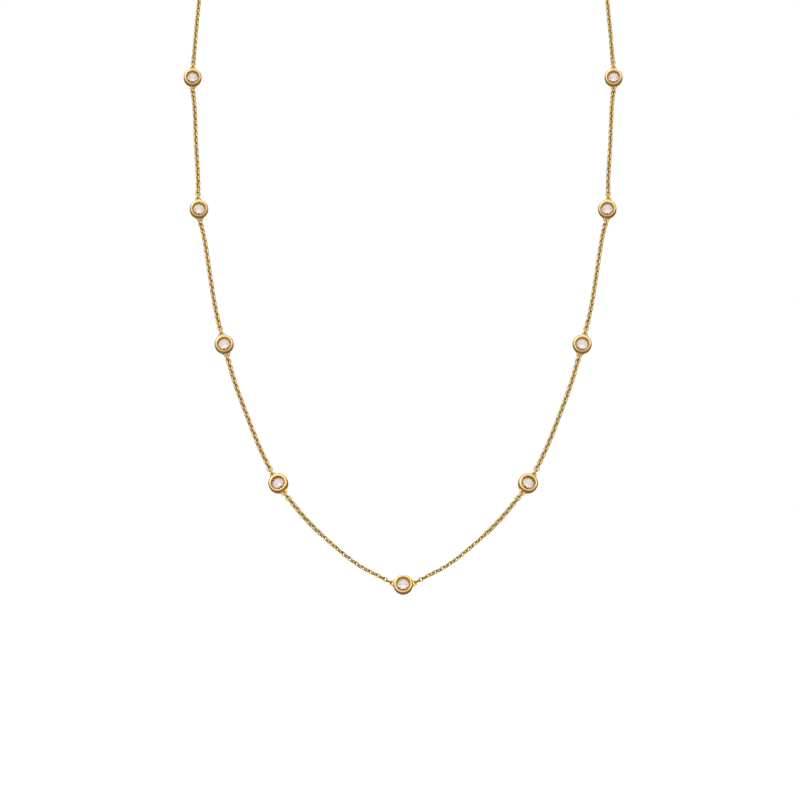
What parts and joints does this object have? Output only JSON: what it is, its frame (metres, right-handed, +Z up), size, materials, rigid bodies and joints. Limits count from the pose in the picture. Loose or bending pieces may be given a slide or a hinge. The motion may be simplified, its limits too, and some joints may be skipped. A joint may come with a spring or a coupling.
{
  "type": "bezel-set necklace",
  "caption": "Fine gold cable-chain necklace with round stones in plain bezel settings spaced along it, held in the form it has when worn and closed by a spring ring at the nape.",
  "frame": {"origin": "middle of the neck's hollow, level with the chain at the sides of the neck", "axes": "+X to the right of the picture (the wearer's left), +Y towards the nape, +Z up"},
  "size_m": [0.0986, 0.0885, 0.1634],
  "materials": {
    "gold": "polished yellow gold",
    "stone": "clear, faceted"
  },
  "bodies": {
    "root": {"bezel_1": "gold", "bezel_2": "gold", "bezel_3": "gold", "bezel_4": "gold", "bezel_5": "gold", "bezel_6": "gold", "bezel_7": "gold", "bezel_8": "gold", "bezel_9": "gold", "chain_1": "gold", "chain_2": "gold", "chain_3": "gold", "chain_4": "gold", "chain_5": "gold", "chain_6": "gold", "chain_7": "gold", "chain_8": "gold", "chain_9": "gold", "chain_10": "gold", "clasp": "gold", "end_ring": "gold", "stone_1": "stone", "stone_2": "stone", "stone_3": "stone", "stone_4": "stone", "stone_5": "stone", "stone_6": "stone", "stone_7": "stone", "stone_8": "stone", "stone_9": "stone"}
  },
  "joints": []
}
